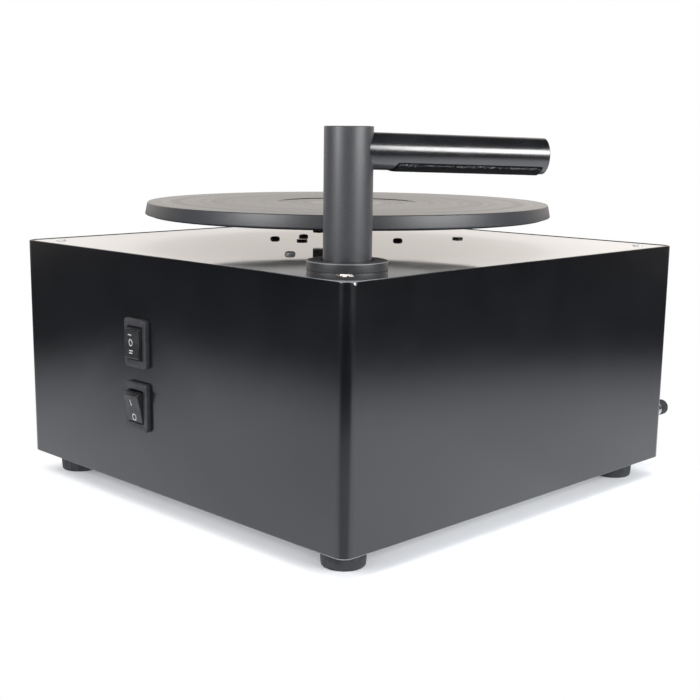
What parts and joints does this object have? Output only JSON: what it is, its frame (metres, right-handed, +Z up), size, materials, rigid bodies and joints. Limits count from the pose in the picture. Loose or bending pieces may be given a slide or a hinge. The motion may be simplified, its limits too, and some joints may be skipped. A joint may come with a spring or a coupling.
{
  "type": "record cleaning machine",
  "caption": "Box-shaped record cleaner with a turning platter on top, a lifting and swinging suction arm, rocker switches on the front and a capped drain spout at the rear.",
  "frame": {"origin": "on the floor, under the centre of the whole outline, with the arm, the rockers and the drain cap counted", "axes": "+X to the right along the face with the switches, +Y to the rear, +Z up"},
  "size_m": [0.3942, 0.3974, 0.2686],
  "materials": {
    "case_black": "satin black powder coat",
    "top_gloss": "gloss grey-brown lacquer",
    "base_sheet": "plain mill sheet",
    "zinc_sheet": "zinc plated sheet",
    "rubber_black": "matt moulded rubber",
    "lead_black": "round sheathed lead",
    "screw_steel": "bright zinc pan heads",
    "screw_black": "black pan heads",
    "platter_black": "black with a satin turned face",
    "machined_aluminium": "cast and turned",
    "shaft_steel": "ground steel",
    "bush_bronze": "sintered bronze",
    "nylon": "natural nylon",
    "capacitor_can": "grey plastic can",
    "post_grey": "turned dark grey plastic with fine lines",
    "arm_black": "gloss black tube",
    "plastic_black": "moulded black plastic",
    "velvet": "short black pile",
    "tank_plastic": "translucent white moulding",
    "nickel": "bright nickel plate"
  },
  "bodies": {
    "chassis": {"housing": "case_black", "top_plate": "top_gloss", "bottom_plate": "base_sheet", "foot_front_left": "rubber_black", "corner_bracket_front_left": "zinc_sheet", "foot_front_right": "rubber_black", "corner_bracket_front_right": "zinc_sheet", "foot_rear_left": "rubber_black", "corner_bracket_rear_left": "zinc_sheet", "foot_rear_right": "rubber_black", "corner_bracket_rear_right": "zinc_sheet", "plate_screw_front_left": "screw_steel", "plate_screw_rear_left": "screw_steel", "plate_screw_rear_right": "screw_steel", "bulkhead_screw_front": "screw_black", "bulkhead_screw_rear": "screw_black", "gearbox_screw_front": "screw_steel", "gearbox_screw_rear": "screw_black", "shaft_bush": "bush_bronze", "drive_motor_case": "machined_aluminium", "gearbox_case": "machined_aluminium", "gearbox_plate": "zinc_sheet", "run_capacitor": "capacitor_can", "arm_flange": "post_grey", "guide_bush": "nylon", "spring_cup": "nylon", "lift_spring": "shaft_steel", "tank_body": "tank_plastic", "tank_gasket": "rubber_black", "tank_lid": "tank_plastic", "tank_stand": "zinc_sheet", "drain_hose": "rubber_black", "drain_spout": "nickel", "bulkhead": "zinc_sheet", "fan_seal": "rubber_black", "fan_housing": "plastic_black", "vacuum_motor_case": "machined_aluminium", "suction_hose": "rubber_black", "motor_switch_body": "plastic_black", "vacuum_switch_body": "plastic_black", "power_inlet": "plastic_black", "inlet_contacts": "nickel", "mains_lead": "lead_black", "motor_lead": "lead_black"},
    "platter": {"platter": "platter_black", "platter_hub": "machined_aluminium", "spindle_shaft": "shaft_steel", "drive_gear": "nylon"},
    "motor_rotor": {"motor_rotor": "shaft_steel"},
    "fan": {"fan_rotor": "machined_aluminium"},
    "lift_carriage": {"thrust_washer": "nylon"},
    "arm": {"arm_post": "post_grey", "arm_tube": "arm_black", "arm_end_cap": "plastic_black", "velvet_pad_left": "velvet", "velvet_pad_right": "velvet"},
    "motor_rocker": {"motor_rocker": "plastic_black"},
    "vacuum_rocker": {"vacuum_rocker": "plastic_black"},
    "fuse_drawer": {"fuse_drawer": "plastic_black"},
    "drain_cap": {"drain_cap": "rubber_black"}
  },
  "joints": [
    {"name": "platter_spin", "type": "hinge", "parent": "chassis", "child": "platter", "pos_m": [0.00192, -0.03955, 0.2147], "axis": [0, 0, 1], "continuous": true},
    {"name": "motor_rotor_spin", "type": "hinge", "parent": "chassis", "child": "motor_rotor", "pos_m": [0.00192, -0.07705, 0.145], "axis": [0, 0, 1], "continuous": true},
    {"name": "fan_spin", "type": "hinge", "parent": "chassis", "child": "fan", "pos_m": [-0.09208, 0.04695, 0.0925], "axis": [1, 0, 0], "continuous": true},
    {"name": "arm_lift", "type": "slide", "parent": "chassis", "child": "lift_carriage", "axis": [0, 0, 1], "range_m": [-0.0225, 0], "stiffness_N_per_m": 150, "springref_m": 0.02, "deforming": ["lift_spring"]},
    {"name": "arm_swivel", "type": "hinge", "parent": "lift_carriage", "child": "arm", "pos_m": [0.12642, -0.16405, 0.1816], "axis": [0, 0, 1], "continuous": true},
    {"name": "motor_rocker_tilt", "type": "hinge", "parent": "chassis", "child": "motor_rocker", "pos_m": [-0.05068, -0.19275, 0.12], "axis": [-1, 0, 0], "range_deg": [-12, 12]},
    {"name": "vacuum_rocker_tilt", "type": "hinge", "parent": "chassis", "child": "vacuum_rocker", "pos_m": [-0.05068, -0.19275, 0.075], "axis": [-1, 0, 0], "range_deg": [0, 24]},
    {"name": "fuse_drawer_slide", "type": "slide", "parent": "chassis", "child": "fuse_drawer", "axis": [0, 1, 0], "range_m": [0, 0.018]},
    {"name": "drain_cap_pull", "type": "slide", "parent": "chassis", "child": "drain_cap", "axis": [0, 1, 0], "range_m": [0, 0.012]}
  ],
  "couplings": [
    {"joint": "motor_rotor_spin", "follows": "platter_spin", "ratio": -4}
  ]
}
